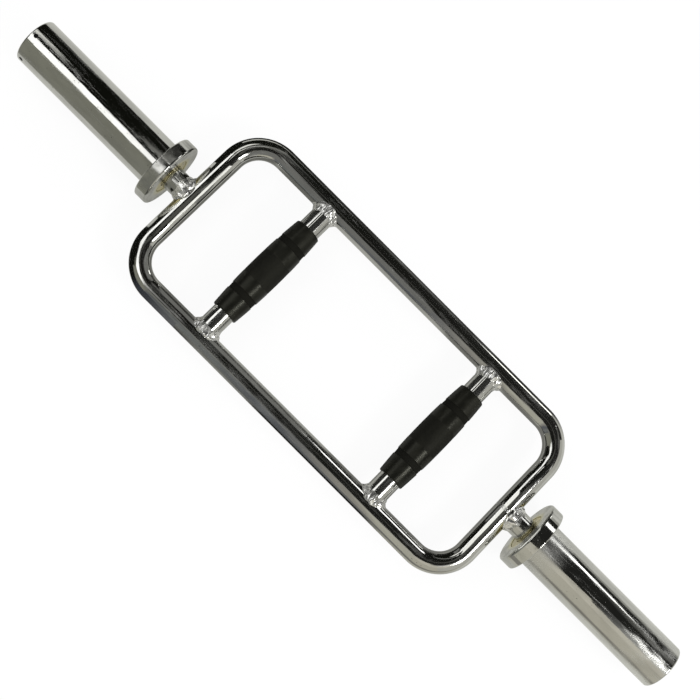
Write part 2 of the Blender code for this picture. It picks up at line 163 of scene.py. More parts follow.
def start_material(name):
    """A new material with its node tree and its shader."""
    material = bpy.data.materials.new(name)
    material.use_nodes = True
    return material, material.node_tree, material.node_tree.nodes["Principled BSDF"]


def scratched_chrome(name, follow, roughness=0.045, scratches=1.0, clouds=0.16, film_depth=0.1, haze=0.0,
                     rubbed=()):
    """Chrome plate: fine scratches along X, small pits, slow ripples of the polish and cloudy handling marks.
    follow names the attribute with the unbent place, or is None for the object's own coordinates. The
    handling film roughens the plate by clouds and greys it by film_depth, and haze greys it all over. rubbed
    holds zones along X that hands or plates have dulled: (start, full from, full to, end, depth,
    cloudiness)."""
    material, tree, shader = start_material(name)
    place = pattern_place(tree, follow)
    long_scratch = fade(tree, grain(tree, place, (16, 620, 620), 3.0), 0.56, 0.68)
    fine_scratch = fade(tree, grain(tree, place, (60, 1500, 1500), 2.0, 4.0), 0.56, 0.72)
    pits = fade(tree, grain(tree, place, (420, 520, 520), 2.0, 8.0), 0.67, 0.74)
    cloud = fade(tree, grain(tree, place, (28, 70, 70), 4.0, 2.0), 0.42, 0.66)
    streaks = fade(tree, grain(tree, place, (12, 330, 330), 3.0, 12.0), 0.5, 0.66)
    smudges = fade(tree, grain(tree, place, (34, 210, 210), 4.0, 15.0), 0.55, 0.68)
    film = combine(tree, "MAXIMUM", multiply(tree, streaks, cloud), multiply(tree, smudges, SMUDGE_SHARE))
    for start, full_from, full_to, end, depth, cloudy in rubbed:
        x = place_x(tree, place)
        patchy = fade(tree, grain(tree, place, (50, 170, 170), 6.0, 21.0), 0.34, 0.66, 1.0 - cloudy, 1.0)
        zone = multiply(tree, fade(tree, x, start, full_from, 0.0, depth), patchy)
        zone = multiply(tree, fade(tree, x, end, full_to), zone)
        film = combine(tree, "MAXIMUM", film, zone)
    marks = combine(tree, "MAXIMUM", long_scratch, fine_scratch)
    worn = multiply(tree, marks, MARK_ROUGHNESS * scratches)
    worn = combine(tree, "ADD", worn, multiply(tree, film, clouds))
    worn = combine(tree, "ADD", worn, multiply(tree, pits, PIT_ROUGHNESS))
    metal = fade(tree, film, 0.0, FILM_FULL, 1.0 - haze, 1.0 - haze - FILM_FULL * film_depth)
    color = blend_colors(tree, multiply(tree, cloud, 0.5), CHROME_TINT, darker(CHROME_TINT, 0.75))
    color = blend_colors(tree, pits, color, darker(CHROME_TINT, 0.4))
    waves = grain(tree, place, (55, 190, 190), 1.0, 6.0)
    cuts = combine(tree, "SUBTRACT", 1.0, combine(tree, "MAXIMUM", marks, pits))
    normal = bump(tree, SCRATCH_DEPTH * scratches, cuts, bump(tree, POLISH_WAVE, waves))
    plug_in(tree, shader, {"Base Color": color, "Roughness": combine(tree, "ADD", worn, roughness),
                           "Metallic": metal, "Normal": normal})
    return material


def frame_line():
    """Centre line and outward direction round the frame, from a seam under the right shaft: four quarter
    circles about the corners' centres, joined by straights."""
    start = np.arange(4) * np.pi / 2
    angle = np.add.outer(start, np.linspace(0, np.pi / 2, BEND_STEPS + 1))
    outward = np.stack((np.cos(angle), np.sin(angle)), axis=-1)
    centre = np.array([FRAME_HALF_LENGTH - BEND_RADIUS, FRAME_HALF_WIDTH - BEND_RADIUS])
    signs = np.array([[1, 1], [-1, 1], [-1, -1], [1, -1]])
    bends = (signs * centre)[:, None] + BEND_RADIUS * outward
    ends = np.array([[FRAME_HALF_LENGTH, SEAM_HALF_GAP], [FRAME_HALF_LENGTH, -SEAM_HALF_GAP]])
    line = np.concatenate((ends[:1], bends.reshape(-1, 2), ends[1:]))
    outward = np.concatenate(([[1, 0]], outward.reshape(-1, 2), [[1, 0]]))
    return line, outward


def frame_surface():
    """A circle of the tube's radius carried round the line, square to it:
    centre + r (cos t outward + sin t up)."""
    line, outward = frame_line()
    distance = np.append(0, np.cumsum(np.linalg.norm(np.diff(line, axis=0), axis=1)))
    turn = np.linspace(0, 2 * np.pi, TUBE_SIDES, endpoint=False)
    across = TUBE_RADIUS * np.cos(turn)
    up = TUBE_RADIUS * np.sin(turn)
    flat = line[:, None] + across[None, :, None] * outward[:, None]
    height = np.broadcast_to(up, flat.shape[:2])
    points = np.concatenate((flat, height[..., None]), axis=-1)
    along = np.broadcast_to(distance[:, None], flat.shape[:2])
    straight = np.stack((along, np.broadcast_to(across, along.shape), height), axis=-1)
    return points, straight


# The front long side between the grips, as metres along the tube from its seam, dulled by hands
FRONT_ZONE = (0.72, 0.77, 0.885, 0.935, 0.62, 0.7)

frame_points, frame_straight = frame_surface()
frame_chrome = scratched_chrome("frame_chrome", "straight", film_depth=0.15, haze=0.003, rubbed=[FRONT_ZONE])
frame_tube = make_piece("frame_tube", frame_points, frame_chrome, straight=frame_straight)
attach(frame_tube, "frame")
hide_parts("frame_rail_front", "frame_rail_rear")


# Handle tubes: 24 mm steel tube across the frame, both ends cut to a saddle that seats on the inside of the
# long sides, welded all round and chromed with the frame.
HANDLE_X = 113.8 * MM
HANDLE_RADIUS = 12.0 * MM
HANDLE_BORE = 9.0 * MM
HANDLE_SIDES = 96
HANDLE_STEPS = 25
SADDLE_GAP = 0.05 * MM
SADDLE_RADIUS = TUBE_RADIUS + SADDLE_GAP
SADDLE_LOWEST = 3.0 * MM


def saddle_end(radius, turn):
    """How far from the frame tube's line a round end stops at each turn: sqrt(R^2 - (r sin t)^2)."""
    return np.sqrt(np.maximum(SADDLE_RADIUS**2 - (radius * np.sin(turn))**2, SADDLE_LOWEST**2))


def handle_surface(x):
    """Outer wall from end to end and back along the bore, closed over the saddle-cut ends. The straight place
    has the handle's own axis along X."""
    turn = np.linspace(0, 2 * np.pi, HANDLE_SIDES, endpoint=False)
    steps = np.linspace(-1, 1, HANDLE_STEPS)
    share = np.concatenate((steps, steps[::-1]))
    radius = np.repeat([HANDLE_RADIUS, HANDLE_BORE], len(steps))
    reach = FRAME_HALF_WIDTH - saddle_end(radius[:, None], turn[None])
    y = share[:, None] * reach
    across = radius[:, None] * np.cos(turn)
    up = radius[:, None] * np.sin(turn)
    return np.stack((x - across, y, up), axis=-1), np.stack((y, across, up), axis=-1)


handle_chrome = scratched_chrome("handle_chrome", "straight", roughness=0.055, clouds=0.12, haze=0.025)
for side, sign in ENDS:
    points, straight = handle_surface(sign * HANDLE_X)
    faces = grid_faces(*points.shape[:2])[:, ::-1]
    handle_tube = make_piece("handle_" + side, points, handle_chrome, faces, straight)
    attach(handle_tube, "frame")
    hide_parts("handle_tube_" + side)


# Grips: black rubber moulded in one piece and pushed on the handle tube. A barrel with two grooves, smooth
# ends and a middle panel of fine moulded pips between two raised lips.
GRIP_HALF_LENGTH = 58.0 * MM
GRIP_MAX_RADIUS = 16.8 * MM
GRIP_END_RADIUS = 14.1 * MM
GRIP_BORE = 12.1 * MM
GRIP_EDGE_ROUND = 1.4 * MM
GROOVE_AT = 33.5 * MM
GROOVE_HALF_WIDTH = 3.4 * MM
GROOVE_DEPTH = 0.6 * MM
GROOVE_WALL = 0.5 * MM
PANEL_HALF_LENGTH = 15.2 * MM
PANEL_WALL = 0.6 * MM
PANEL_SINK = 0.25 * MM
PIP_PITCH = 2.0 * MM
PIP_HEIGHT = 0.22 * MM
PIPS_AROUND = 52
GRIP_SIDES = 5 * PIPS_AROUND
WALL_CLEAR = 1.0 * MM
GRIP_GRAIN_DEPTH = 0.02 * MM


def step(value, edge, width):
    """Smooth step from 0 to 1 over a width centred on an edge."""
    share = np.clip((value - edge) / width + 0.5, 0, 1)
    return share * share * (3 - 2 * share)


def grip_surface(x):
    """Barrel: r = R - (R - R_end) (y / L)^2, less the grooves and the sunk panel, plus pips that are products
    of two sines. Its ends are quarter rounds and it returns along the bore."""
    shoulder = GRIP_HALF_LENGTH - GRIP_EDGE_ROUND
    inner = GROOVE_AT - GROOVE_HALF_WIDTH
    outer = GROOVE_AT + GROOVE_HALF_WIDTH
    edges = inner + GROOVE_WALL * np.linspace(-1, 1, 5)
    panel = np.linspace(0, PANEL_HALF_LENGTH + WALL_CLEAR, 41)
    waist = np.linspace(PANEL_HALF_LENGTH + 2 * WALL_CLEAR, inner - WALL_CLEAR, 7)
    floor_line = np.linspace(inner + WALL_CLEAR, outer - WALL_CLEAR, 5)
    taper = np.linspace(outer + WALL_CLEAR, shoulder, 14)
    half = np.concatenate((panel, waist, edges, floor_line, inner + outer - edges[::-1], taper))
    half = np.unique(np.round(half, 7))
    y = np.concatenate((-half[:0:-1], half))
    radius = GRIP_MAX_RADIUS - (GRIP_MAX_RADIUS - GRIP_END_RADIUS) * (y / GRIP_HALF_LENGTH)**2
    away = np.abs(np.abs(y) - GROOVE_AT)
    radius = radius - GROOVE_DEPTH * (1 - step(away, GROOVE_HALF_WIDTH, GROOVE_WALL))
    in_panel = 1 - step(np.abs(y), PANEL_HALF_LENGTH, PANEL_WALL)
    radius = radius - PANEL_SINK * in_panel
    round_turn = np.linspace(0, np.pi / 2, 7)[1:]
    end_y = shoulder + GRIP_EDGE_ROUND * np.sin(round_turn)
    end_radius = radius[-1] - GRIP_EDGE_ROUND * (1 - np.cos(round_turn))
    y = np.concatenate((-end_y[::-1], y, end_y, [GRIP_HALF_LENGTH, -GRIP_HALF_LENGTH]))
    radius = np.concatenate((end_radius[::-1], radius, end_radius, [GRIP_BORE, GRIP_BORE]))
    pad = np.zeros(len(end_y))
    in_panel = np.concatenate((pad, in_panel, pad, [0, 0]))
    turn = np.linspace(0, 2 * np.pi, GRIP_SIDES, endpoint=False)
    rows = np.sin(2 * np.pi * y / PIP_PITCH)
    pips = np.clip(rows[:, None] * np.sin(PIPS_AROUND * turn)[None], 0, 1)
    radius = radius[:, None] + PIP_HEIGHT * in_panel[:, None] * pips
    across = radius * np.cos(turn)
    up = radius * np.sin(turn)
    along = np.broadcast_to(y[:, None], across.shape)
    return np.stack((x - across, along, up), axis=-1), np.stack((along, across, up), axis=-1)


def moulded_rubber():
    """Black rubber with a fine grain: satin where hands have rubbed the barrel, rougher in the grooves and
    the panel, and darker there in colour as painted shade."""
    material, tree, shader = start_material("grip_rubber")
    clean = (0.0055, 0.0056, 0.0043, 1.0)
    dusty = (0.0105, 0.0105, 0.0078, 1.0)
    groove_shade = (0.0035, 0.0035, 0.0026, 1.0)
    place = pattern_place(tree, "straight")
    along = combine(tree, "ABSOLUTE", place_x(tree, place), 0.0)
    from_groove = combine(tree, "ABSOLUTE", combine(tree, "SUBTRACT", along, GROOVE_AT), 0.0)
    in_groove = fade(tree, from_groove, GROOVE_HALF_WIDTH + GROOVE_WALL, GROOVE_HALF_WIDTH)
    in_panel = fade(tree, along, PANEL_HALF_LENGTH + GROOVE_WALL, PANEL_HALF_LENGTH - GROOVE_WALL)
    dull_and_shaded = combine(tree, "MAXIMUM", in_groove, multiply(tree, in_panel, 0.55))
    dust = fade(tree, grain(tree, place, (50, 130, 130), 4.0), 0.4, 0.7)
    # The grooves, and the panel at a little over half, get a darker colour: painted shade in the recesses.
    color = blend_colors(tree, dull_and_shaded, blend_colors(tree, dust, clean, dusty), groove_shade)
    rough = combine(tree, "ADD", fade(tree, dust, 0.0, 1.0, 0.31, 0.42), multiply(tree, dull_and_shaded, 0.5))
    fine = grain(tree, place, (1500, 1500, 1500), 2.0, 3.0)
    lumps = grain(tree, place, (240, 240, 240), 2.0, 5.0)
    height = combine(tree, "ADD", fine, multiply(tree, lumps, 2.0))
    plug_in(tree, shader, {"Base Color": color, "Roughness": rough, "Specular IOR Level": 0.22,
                           "Specular Tint": (1.0, 1.0, 0.84, 1.0),
                           "Normal": bump(tree, GRIP_GRAIN_DEPTH, height)})
    return material


grip_rubber = moulded_rubber()
for side, sign in ENDS:
    points, straight = grip_surface(sign * HANDLE_X)
    faces = grid_faces(*points.shape[:2])[:, ::-1]
    grip_piece = make_piece("grip_cover_" + side, points, grip_rubber, faces, straight)
    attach(grip_piece, "frame")
    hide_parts("grip_" + side)


# Handle welds: a bead of weld metal run round each saddle joint by hand, its ripples left as they set and
# chromed over with the frame.
WELD_SINK = 0.25 * MM
WELD_AROUND = 420
WELD_ACROSS = 25
WELD_SIDE_RISE = 7.0 * MM
WELD_SIDE_CROWN = 0.5 * MM
WELD_TOP_CROWN = 1.5 * MM
WELD_RIPPLE = 0.65 * MM
WELD_LUMP = 0.55 * MM
WELD_WANDER = 0.9 * MM
# Waves round the bead: share, how many, and how much the seed shifts them
WELD_UNEVEN = ((0.5, 3, 1.0), (0.3, 7, 2.1), (0.2, 12, -1.0))
WELD_SEAT_DEPTH = 0.9
WELD_FROST_DEPTH = 0.05 * MM


def weld_surface(radius, spread, top_rise, crest_gap, seed, ripples):
    """A bead's section at each turn t round its branch: a parabola from a toe on the branch to a toe on the
    tube, pulled towards the corner between them and crowned by sin(pi s), with curved ridges of |sin| that
    also scallop both toes, and slow lumps. It closes through a line just inside the metal. Y is up the branch
    and X along the tube."""
    turn = np.linspace(0, 2 * np.pi, WELD_AROUND, endpoint=False)[:, None]
    uneven = sum(share * np.sin(count * turn + shift * seed) for share, count, shift in WELD_UNEVEN)
    phase = ripples * turn + 1.1 * np.sin(2 * turn + seed) + 0.7 * np.sin(5 * turn)
    scallop = np.abs(np.sin(phase / 2)) - 0.6
    topness = np.sin(turn)**2
    reach = radius - WELD_SINK
    seat = TUBE_RADIUS - WELD_SINK
    height = np.sqrt(np.maximum(seat**2 - (reach * np.sin(turn))**2, SADDLE_LOWEST**2))
    corner = np.concatenate((reach * np.cos(turn), height, reach * np.sin(turn)), axis=1)
    rise = WELD_SIDE_RISE + (top_rise - WELD_SIDE_RISE) * topness + WELD_WANDER * (uneven + 0.5 * scallop)
    branch_toe = corner + rise * np.array([0, 1, 0])
    along = (radius + spread + WELD_WANDER * (0.6 * uneven + 0.5 * scallop)) * np.cos(turn)
    stop = crest_gap - WELD_WANDER * (uneven + 0.6 * scallop)
    around = (np.pi / 2 - stop / TUBE_RADIUS) * np.sin(turn)
    tube_toe = np.concatenate((along, seat * np.cos(around), seat * np.sin(around)), axis=1)
    middle = (np.arctan2(corner[:, 2:], corner[:, 1:2]) + around) / 2
    deep = WELD_SEAT_DEPTH * seat
    seated = ((corner[:, :1] + along) / 2, deep * np.cos(middle), deep * np.sin(middle))
    seated = np.concatenate(seated, axis=1)

    share = np.linspace(0, 1, WELD_ACROSS)[None]
    ridge = np.abs(np.sin((phase + 4.0 * (share - 0.45)**2 + 0.8 * np.sin(4 * share + seed)) / 2))**0.8
    lumps = np.sin(9 * turn + 4 * share + seed) * np.sin(5 * turn - 6 * share + 2 * seed)
    lumps = lumps + 0.6 * np.sin(4 * turn + 3 * share + 3 * seed) + 0.4 * np.sin(14 * turn + 9 * share - seed)
    strength = 0.75 + 0.25 * np.sin(6 * turn + 1.7 * seed)
    crown = WELD_SIDE_CROWN + (WELD_TOP_CROWN - WELD_SIDE_CROWN) * topness
    crown = crown + WELD_RIPPLE * strength * ridge + WELD_LUMP * lumps
    push = np.concatenate((np.cos(turn), 1 - topness, np.sin(turn)), axis=1)
    push = push / np.linalg.norm(push, axis=1, keepdims=True)
    raised = (crown * np.sin(np.pi * share))[..., None] * push[:, None]
    share = share[..., None]
    face = (1 - share)**2 * branch_toe[:, None] + 2 * share * (1 - share) * corner[:, None]
    face = face + share**2 * tube_toe[:, None] + raised
    return np.concatenate((face, seated[:, None], corner[:, None]), axis=1)


def place_weld(points, x, y, turn):
    """Turns a bead about Z and moves it to its joint."""
    c, s = math.cos(turn), math.sin(turn)
    moved = points @ np.array([[c, s, 0], [-s, c, 0], [0, 0, 1]])
    return moved + np.array([x, y, 0])


def welded_chrome():
    """Chrome over raw weld metal: bright on the ripples, with pinholes and a slightly frosted skin."""
    material, tree, shader = start_material("weld_chrome")
    bright = (0.8, 0.8, 0.78, 1.0)
    frosted = (0.62, 0.62, 0.59, 1.0)
    pinhole = (0.1, 0.095, 0.085, 1.0)
    place = pattern_place(tree)
    frost = fade(tree, grain(tree, place, (200, 200, 200), 4.0), 0.4, 0.68)
    holes = fade(tree, grain(tree, place, (480, 480, 480), 1.0, 5.0), 0.68, 0.74)
    color = blend_colors(tree, holes, blend_colors(tree, frost, bright, frosted), pinhole)
    height = combine(tree, "SUBTRACT", grain(tree, place, (230, 230, 230), 1.0, 9.0), holes)
    plug_in(tree, shader, {"Base Color": color, "Roughness": fade(tree, frost, 0.0, 1.0, 0.18, 0.4),
                           "Metallic": fade(tree, frost, 0.0, 1.0, 0.94, 0.78),
                           "Normal": bump(tree, WELD_FROST_DEPTH, height)})
    return material


HANDLE_WELD_SPREAD = 5.5 * MM
HANDLE_WELD_RISE = 11.5 * MM
HANDLE_CREST_GAP = 2.0 * MM
HANDLE_RIPPLES = 15
HANDLE_WELD_SEED = 1.3

weld_chrome = welded_chrome()
for side, sign in ENDS:
    for edge, y, turn in (("front", -FRAME_HALF_WIDTH, 0.0), ("rear", FRAME_HALF_WIDTH, math.pi)):
        bead = weld_surface(HANDLE_RADIUS, HANDLE_WELD_SPREAD, HANDLE_WELD_RISE, HANDLE_CREST_GAP,
                            HANDLE_WELD_SEED + sign + turn, HANDLE_RIPPLES)
        points = place_weld(bead, sign * HANDLE_X, y, turn)
        handle_weld = make_piece(f"bead_handle_{side}_{edge}", points, weld_chrome)
        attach(handle_weld, "frame")
        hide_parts(f"handle_weld_{side}_{edge}")


# Sleeve shafts: 25 mm steel bar turned down to a journal with a shoulder and a ring groove, its inner end cut
# to seat on the frame's short side. Only a short stub shows, chromed with the frame.
SHAFT_RADIUS = 12.7 * MM
JOURNAL_RADIUS = 11.0 * MM
SHOULDER_X = 388.0 * MM
SHAFT_END_X = 417.0 * MM
RING_GROOVE = (410.6 * MM, 412.6 * MM)
RING_GROOVE_RADIUS = 10.0 * MM
SHAFT_EDGE = 0.8 * MM
STUB_LENGTH = 18.0 * MM
MIDDLE_LINE = 100.0 * MM
SHAFT_SIDES = 96
SADDLE_CAP_RADIUS = 0.4 * SHAFT_RADIUS
END_CAP_RADIUS = 0.2 * SHAFT_RADIUS
EDGE_SUPPORT = 0.25 * MM


def rounded_outline(corners, radii, steps=5):
    """Outline through corner points in a plane, each corner replaced by an arc of its radius that touches
    both sides, with a point a little way along each side to keep the flats flat."""
    corners = np.asarray(corners, float)
    made = []
    for here, before, after, radius in zip(corners, np.roll(corners, 1, 0), np.roll(corners, -1, 0), radii):
        back = (before - here) / np.linalg.norm(before - here)
        on = (after - here) / np.linalg.norm(after - here)
        half = math.acos(np.clip(back @ on, -1, 1)) / 2
        reach = radius / math.tan(half)
        centre = here + (back + on) / np.linalg.norm(back + on) * radius / math.sin(half)
        first = here + reach * back - centre
        last = here + reach * on - centre
        sweep = math.pi - 2 * half
        share = np.linspace(0, 1, steps)[:, None]
        arc = (np.sin((1 - share) * sweep) * first + np.sin(share * sweep) * last) / math.sin(sweep)
        support = [centre + first + EDGE_SUPPORT * back]
        made.append(np.concatenate((support, centre + arc, [centre + last + EDGE_SUPPORT * on])))
    return np.concatenate(made)


def turned(outline, sides, sign=1):
    """Carries an outline of (x, radius) points round the X axis: (x, r cos t, -r sin t). Sign -1 turns the
    piece half round Z for the left end. The last outline point joins the first."""
    turn = np.linspace(0, 2 * np.pi, sides, endpoint=False)
    x = np.broadcast_to(outline[:, :1], (len(outline), sides))
    points = np.stack((x, outline[:, 1:] * np.cos(turn), -outline[:, 1:] * np.sin(turn)), axis=-1)
    return points * np.array([sign, sign, 1])


def capped_faces(rows, columns):
    """Cells of an open skin with one many-sided face over each end."""
    cells = grid_faces(rows, columns, close_rows=False).tolist()
    first = list(range(columns))
    last = [(rows - 1) * columns + i for i in range(columns)]
    return cells + [first, last[::-1]]


def shaft_surface(sign):
    """A turned profile whose inner end follows the frame tube:
    x = the short side's line + sqrt(R^2 - (r sin t)^2)."""
    start = FRAME_HALF_LENGTH + TUBE_RADIUS
    groove_start, groove_end = RING_GROOVE
    body = SHAFT_RADIUS - SHAFT_EDGE
    outline = np.array([
        (start, SADDLE_CAP_RADIUS), (start, SHAFT_RADIUS), (start + STUB_LENGTH, SHAFT_RADIUS),
        (start + MIDDLE_LINE, SHAFT_RADIUS), (SHOULDER_X - SHAFT_EDGE, SHAFT_RADIUS), (SHOULDER_X, body),
        (SHOULDER_X, JOURNAL_RADIUS), (groove_start, JOURNAL_RADIUS), (groove_start, RING_GROOVE_RADIUS),
        (groove_end, RING_GROOVE_RADIUS), (groove_end, JOURNAL_RADIUS),
        (SHAFT_END_X - SHAFT_EDGE, JOURNAL_RADIUS), (SHAFT_END_X, JOURNAL_RADIUS - SHAFT_EDGE),
        (SHAFT_END_X, END_CAP_RADIUS)])
    points = turned(outline, SHAFT_SIDES)
    turn = np.linspace(0, 2 * np.pi, SHAFT_SIDES, endpoint=False)
    saddle = saddle_end(outline[:2, 1:], turn[None])
    points[:2, :, 0] = FRAME_HALF_LENGTH + saddle
    return points * np.array([sign, sign, 1])


shaft_chrome = scratched_chrome("shaft_chrome", None, roughness=0.08, clouds=0.2)
for side, sign in ENDS:
    points = shaft_surface(sign)
    shaft = make_piece("shaft_" + side, points, shaft_chrome, capped_faces(*points.shape[:2]))
    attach(shaft, "frame")
    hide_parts("sleeve_shaft_" + side)


# Shaft welds: the same kind of hand-run bead, heavier on top, where each shaft stands on the frame's short
# side. They hide the frame's two seams.
SHAFT_WELD_SPREAD = 4.0 * MM
SHAFT_WELD_RISE = 16.0 * MM
SHAFT_CREST_GAP = 3.5 * MM
SHAFT_RIPPLES = 13
SHAFT_WELD_SEED = 4.1

for side, sign in ENDS:
    bead = weld_surface(SHAFT_RADIUS, SHAFT_WELD_SPREAD, SHAFT_WELD_RISE, SHAFT_CREST_GAP,
                        SHAFT_WELD_SEED + sign, SHAFT_RIPPLES)
    points = place_weld(bead, sign * FRAME_HALF_LENGTH, 0.0, -sign * math.pi / 2)
    shaft_weld = make_piece("bead_shaft_" + side, points, weld_chrome)
    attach(shaft_weld, "frame")
    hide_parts("shaft_weld_" + side)


# Thrust washers and snap rings: plain oiled steel washers behind blackened spring rings, closed in by the
# end plugs. The CAD solids are right as they are and get a finish.
TOOL_RING_DEPTH = 0.02 * MM


def from_axis(tree, place):
    """Distance from the X axis."""
    flat = feed(tree, "VectorMath", {0: place, 1: (0.0, 1.0, 1.0)}, operation="MULTIPLY")
    return feed(tree, "VectorMath", {0: flat}, output="Value", operation="LENGTH")


def tool_rings(tree, distance, pitch, detail):
    """The fine cuts that a lathe's tool leaves, one to a pitch along a distance."""
    inputs = {"W": multiply(tree, distance, 1 / pitch), "Scale": 1.0, "Detail": detail}
    return feed(tree, "TexNoise", inputs, noise_dimensions="1D")


def turned_metal(name, tint, roughness, ring_pitch, oiled):
    """Bare metal from a lathe: fine rings about the X axis, and oily streaks whose brightness is the share
    oiled of the metal's own."""
    material, tree, shader = start_material(name)
    place = pattern_place(tree)
    distance = combine(tree, "ADD", from_axis(tree, place), place_x(tree, place))
    oil = fade(tree, grain(tree, place, (160, 160, 160), 4.0), 0.38, 0.66)
    cuts = tool_rings(tree, distance, ring_pitch, 3.0)
    plug_in(tree, shader, {"Base Color": blend_colors(tree, oil, tint, darker(tint, oiled)),
                           "Roughness": fade(tree, oil, 0.0, 1.0, roughness, 0.7 * roughness),
                           "Metallic": 1.0, "Normal": bump(tree, TOOL_RING_DEPTH, cuts)})
    return material


def refinish(node, material):
    """Gives a CAD node's own solid a new finish in every material slot."""
    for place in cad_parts[node].material_slots:
        place.material = material


plain_steel = turned_metal("plain_steel", (0.42, 0.42, 0.41, 1.0), 0.38, 0.3 * MM, 0.7)
spring_steel = turned_metal("spring_steel", (0.05, 0.05, 0.052, 1.0), 0.45, 0.5 * MM, 0.6)
for side in ("left", "right"):
    refinish("thrust_washer_" + side, plain_steel)
    refinish("retaining_ring_" + side, spring_steel)


# Bushings: plain bronze bushings pressed into each sleeve. The inner one shows its face inside the collar,
# golden and brown with old oil; the outer one is hidden.
BUSHING_START = 245.0 * MM
BUSHING_END = 272.0 * MM
BUSHING_RADIUS = 20.3 * MM
BUSHING_BORE = 13.1 * MM
BUSHING_EDGE = 0.8 * MM
BUSHING_SIDES = 128

bronze = turned_metal("bushing_bronze", (0.66, 0.58, 0.3, 1.0), 0.3, 0.25 * MM, 0.5)
bushing_corners = [(BUSHING_START, BUSHING_BORE), (BUSHING_START, BUSHING_RADIUS),
                   (BUSHING_END, BUSHING_RADIUS), (BUSHING_END, BUSHING_BORE)]
bushing_rounds = (BUSHING_EDGE, BUSHING_EDGE, BUSHING_EDGE / 2, BUSHING_EDGE / 2)
bushing_outline = rounded_outline(bushing_corners, bushing_rounds)
for side, sign in ENDS:
    points = turned(bushing_outline, BUSHING_SIDES, sign)
    bushing = make_piece("bushing_face_" + side, points, bronze)
    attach(bushing, side + "_sleeve")
    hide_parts("inner_bushing_" + side)
    refinish("outer_bushing_" + side, bronze)


# Collars: turned steel rings shrunk on the sleeves' inner ends, a polished chromed rim with rounded edges and
# satin faces that still show the tool's fine rings.
COLLAR_INNER_X = 244.4 * MM
COLLAR_OUTER_X = 258.6 * MM
COLLAR_RADIUS = 36.7 * MM
COLLAR_INNER_ROUND = 2.2 * MM
COLLAR_OUTER_ROUND = 1.3 * MM
COLLAR_BORE = 20.5 * MM
COLLAR_BORE_ROUND = 0.6 * MM
COLLAR_COUNTERBORE = 24.65 * MM
COLLAR_LIP_X = 248.8 * MM
COLLAR_LIP_ROUND = 0.2 * MM
COLLAR_SIDES = 200
SATIN_FROM = 35.4 * MM
SATIN_FULL = 34.6 * MM
STAIN_FROM = 27.0 * MM
FACE_RING_PITCH = 0.35 * MM
FACE_RING_DEPTH = 0.03 * MM
RIM_WAVE = 0.06 * MM


def collar_finish(name, rim_low, rim_high):
    """Satin turned faces, mirror chrome on the rim, and an oily golden stain round the bore. The rim's
    roughness runs from low to high in clouds."""
    material, tree, shader = start_material(name)
    clouded = (0.5, 0.5, 0.47, 1.0)
    golden = (0.64, 0.61, 0.43, 1.0)
    speckled = (0.3, 0.3, 0.28, 1.0)
    place = pattern_place(tree)
    radius = from_axis(tree, place)
    face = fade(tree, radius, SATIN_FROM, SATIN_FULL)
    cloud = fade(tree, grain(tree, place, (60, 90, 90), 4.0), 0.4, 0.66)
    speck = fade(tree, grain(tree, place, (500, 500, 500), 2.0, 4.0), 0.64, 0.74)
    satin = fade(tree, cloud, 0.0, 1.0, 0.3, 0.42)
    bright = fade(tree, cloud, 0.0, 1.0, rim_low, rim_high)
    rough = combine(tree, "ADD", multiply(tree, face, combine(tree, "SUBTRACT", satin, bright)), bright)
    rough = combine(tree, "ADD", rough, multiply(tree, speck, 0.2))
    stain = multiply(tree, fade(tree, radius, STAIN_FROM, COLLAR_BORE), face)
    color = blend_colors(tree, stain, blend_colors(tree, cloud, CHROME_TINT, clouded), golden)
    color = blend_colors(tree, speck, color, speckled)
    rings = multiply(tree, tool_rings(tree, radius, FACE_RING_PITCH, 2.0), face)
    waves = grain(tree, place, (90, 110, 110), 1.0, 6.0)
    normal = bump(tree, RIM_WAVE, waves, bump(tree, FACE_RING_DEPTH, rings))
    plug_in(tree, shader, {"Base Color": color, "Roughness": rough, "Metallic": 1.0, "Normal": normal})
    return material


collar_corners = [(COLLAR_INNER_X, COLLAR_BORE), (COLLAR_INNER_X, COLLAR_RADIUS),
                  (COLLAR_OUTER_X, COLLAR_RADIUS), (COLLAR_OUTER_X, COLLAR_COUNTERBORE),
                  (COLLAR_LIP_X, COLLAR_COUNTERBORE), (COLLAR_LIP_X, COLLAR_BORE)]
collar_rounds = (COLLAR_BORE_ROUND, COLLAR_INNER_ROUND, COLLAR_OUTER_ROUND) + 3 * (COLLAR_LIP_ROUND,)
collar_outline = rounded_outline(collar_corners, collar_rounds, 9)
for side, sign, rim_low, rim_high in (("left", -1, 0.11, 0.28), ("right", 1, 0.05, 0.14)):
    collar_chrome = collar_finish("collar_chrome_" + side, rim_low, rim_high)
    points = turned(collar_outline, COLLAR_SIDES, sign)
    collar = make_piece("collar_ring_" + side, points, collar_chrome)
    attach(collar, side + "_sleeve")
    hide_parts("collar_" + side)


# Sleeves: thick-walled steel tube, turned and chromed, that carries the plates and spins on the shaft. Two
# drilled holes near the end take the grub screws that hold the plug; plates have scuffed it along its length.
SLEEVE_RADIUS = 24.6 * MM
SLEEVE_BORE = 20.5 * MM
SLEEVE_START = 248.9 * MM
SLEEVE_END = 432.0 * MM
SLEEVE_EDGE = 1.6 * MM
SLEEVE_SIDES = 192
BORE_EDGE = 0.4 * MM
HOLE_X = 426.0 * MM
HOLE_RADIUS = 2.3 * MM
HOLE_CELLS = 4
HOLE_CELL = 0.85 * MM
HOLE_ANGLES = {"left": (0.0, 285.0), "right": (150.0, 240.0)}


